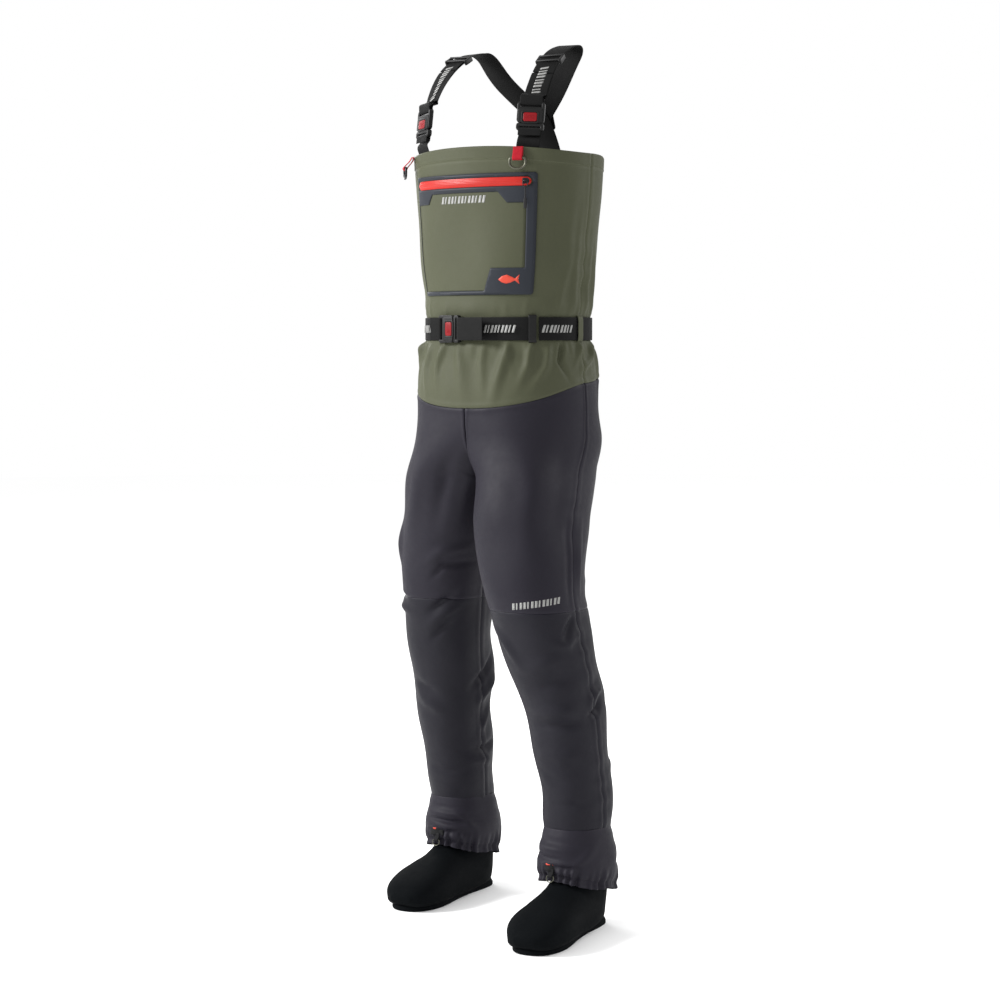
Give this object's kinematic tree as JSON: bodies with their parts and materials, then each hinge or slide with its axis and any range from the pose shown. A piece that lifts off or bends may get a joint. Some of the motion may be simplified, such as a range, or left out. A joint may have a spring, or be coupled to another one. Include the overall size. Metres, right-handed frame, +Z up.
{
  "type": "chest waders",
  "caption": "Stockingfoot chest waders: bib with zipped chest pocket, crossed suspenders, waist belt, gravel guards and neoprene socks, in the shape they take when worn.",
  "frame": {"origin": "midway between the highest points of the two shoulder straps", "axes": "+Z up, from the socks to the shoulder straps; the wearer faces -Y; +X is the wearer's left"},
  "size_m": [0.4807, 0.4056, 1.5624],
  "materials": {
    "bib_fabric": "matt coated woven laminate",
    "weld_trim": "welded film trim",
    "leg_fabric": "matt coated woven laminate",
    "shin_fabric": "matt reinforced laminate",
    "neoprene": "fine knit faced foam",
    "zip_coating": "satin coated tape",
    "tab_webbing": "narrow woven webbing",
    "metal": "dull plated wire and casting",
    "button_plastic": "moulded",
    "buckle_plastic": "moulded, fine texture",
    "pull_rubber": "moulded over cord",
    "elastic": "knitted elastic",
    "webbing": "woven webbing"
  },
  "bodies": {
    "garment": {"back_belt_loop": "bib_fabric", "belt_adjust_loop": "webbing", "belt_buckle_socket": "buckle_plastic", "belt_keeper": "buckle_plastic", "bib_back_panel": "bib_fabric", "bib_front_panel": "bib_fabric", "crossing_patch": "webbing", "left_anchor_webbing": "webbing", "left_belt_loop": "bib_fabric", "left_calf_back_panel": "shin_fabric", "left_gravel_guard": "leg_fabric", "left_guard_elastic": "elastic", "left_hook_tab": "webbing", "left_ring_tab": "tab_webbing", "left_shin_front_panel": "shin_fabric", "left_shoulder_strap": "webbing", "left_sock": "neoprene", "left_sock_sole": "neoprene", "left_strap_buckle_socket": "buckle_plastic", "left_strap_loop": "webbing", "left_thigh_back_panel": "leg_fabric", "left_thigh_front_panel": "leg_fabric", "pocket_frame": "weld_trim", "pocket_panel": "bib_fabric", "right_anchor_webbing": "webbing", "right_belt_loop": "bib_fabric", "right_calf_back_panel": "shin_fabric", "right_gravel_guard": "leg_fabric", "right_guard_elastic": "elastic", "right_hook_tab": "webbing", "right_ring_tab": "tab_webbing", "right_shin_front_panel": "shin_fabric", "right_shoulder_strap": "webbing", "right_sock": "neoprene", "right_sock_sole": "neoprene", "right_strap_buckle_socket": "buckle_plastic", "right_strap_loop": "webbing", "right_thigh_back_panel": "leg_fabric", "right_thigh_front_panel": "leg_fabric", "waist_belt": "webbing", "zip_tape": "zip_coating"},
    "left_strap_plug": {"left_strap_buckle_plug": "buckle_plastic"},
    "left_strap_button": {"left_strap_buckle_button": "button_plastic"},
    "left_adjuster": {"left_strap_adjuster": "buckle_plastic"},
    "left_ring": {"left_d_ring": "metal"},
    "left_hook": {"left_lace_hook": "metal"},
    "right_strap_plug": {"right_strap_buckle_plug": "buckle_plastic"},
    "right_strap_button": {"right_strap_buckle_button": "button_plastic"},
    "right_adjuster": {"right_strap_adjuster": "buckle_plastic"},
    "right_ring": {"right_d_ring": "metal"},
    "right_hook": {"right_lace_hook": "metal"},
    "belt_plug": {"belt_buckle_plug": "buckle_plastic"},
    "belt_button": {"belt_buckle_button": "button_plastic"},
    "zip_slider": {"zip_slider": "metal"},
    "zip_pull": {"zip_pull": "pull_rubber"}
  },
  "joints": [
    {"name": "left_strap_button_press", "type": "slide", "parent": "garment", "child": "left_strap_button", "axis": [-0.4242, 0.8964, -0.1285], "range_m": [0, 0.002], "stiffness_N_per_m": 900},
    {"name": "left_strap_release", "type": "slide", "parent": "garment", "child": "left_strap_plug", "axis": [0.009, -0.1377, -0.9904], "range_m": [0, 0.022], "deforming": ["left_anchor_webbing"]},
    {"name": "left_adjuster_slide", "type": "hinge", "parent": "garment", "child": "left_adjuster", "pos_m": [0.08602, 0.01473, -0.14069], "axis": [0.9966, 0.083, -0.0012], "range_deg": [-1.2, 1.2]},
    {"name": "left_d_ring_swing", "type": "hinge", "parent": "garment", "child": "left_ring", "pos_m": [0.10613, -0.16558, -0.20672], "axis": [-0.9306, -0.366, 0], "range_deg": [0, 100]},
    {"name": "left_lace_hook_swing", "type": "hinge", "parent": "garment", "child": "left_hook", "pos_m": [0.15358, -0.13287, -1.4486], "axis": [-0.9999, 0, -0.0105], "range_deg": [0, 70]},
    {"name": "right_strap_button_press", "type": "slide", "parent": "garment", "child": "right_strap_button", "axis": [0.4242, 0.8964, -0.1285], "range_m": [0, 0.002], "stiffness_N_per_m": 900},
    {"name": "right_strap_release", "type": "slide", "parent": "garment", "child": "right_strap_plug", "axis": [-0.009, -0.1377, -0.9904], "range_m": [0, 0.022], "deforming": ["right_anchor_webbing"]},
    {"name": "right_adjuster_slide", "type": "hinge", "parent": "garment", "child": "right_adjuster", "pos_m": [-0.11704, 0.00867, -0.1274], "axis": [0.9964, -0.0732, -0.0426], "range_deg": [-2.4, 2.4]},
    {"name": "right_d_ring_swing", "type": "hinge", "parent": "garment", "child": "right_ring", "pos_m": [-0.16196, -0.14119, -0.21129], "axis": [-0.7182, 0.6958, 0], "range_deg": [0, 100]},
    {"name": "right_lace_hook_swing", "type": "hinge", "parent": "garment", "child": "right_hook", "pos_m": [-0.19054, -0.02088, -1.44871], "axis": [-1, 0, 0.0099], "range_deg": [0, 70]},
    {"name": "belt_button_press", "type": "slide", "parent": "garment", "child": "belt_button", "axis": [0.1139, 0.9935, 0], "range_m": [0, 0.002], "stiffness_N_per_m": 900},
    {"name": "belt_release", "type": "slide", "parent": "garment", "child": "belt_plug", "axis": [0.9935, -0.1139, 0], "range_m": [0, 0.022], "deforming": ["belt_adjust_loop"]},
    {"name": "zip_travel", "type": "hinge", "parent": "garment", "child": "zip_slider", "pos_m": [0, 0.123, -0.2455], "axis": [0, 0, -1], "range_deg": [0, 45]},
    {"name": "zip_pull_swing", "type": "hinge", "parent": "zip_slider", "child": "zip_pull", "pos_m": [0.11797, -0.15911, -0.2455], "axis": [-0.8997, -0.4366, 0], "range_deg": [0, 100]}
  ]
}
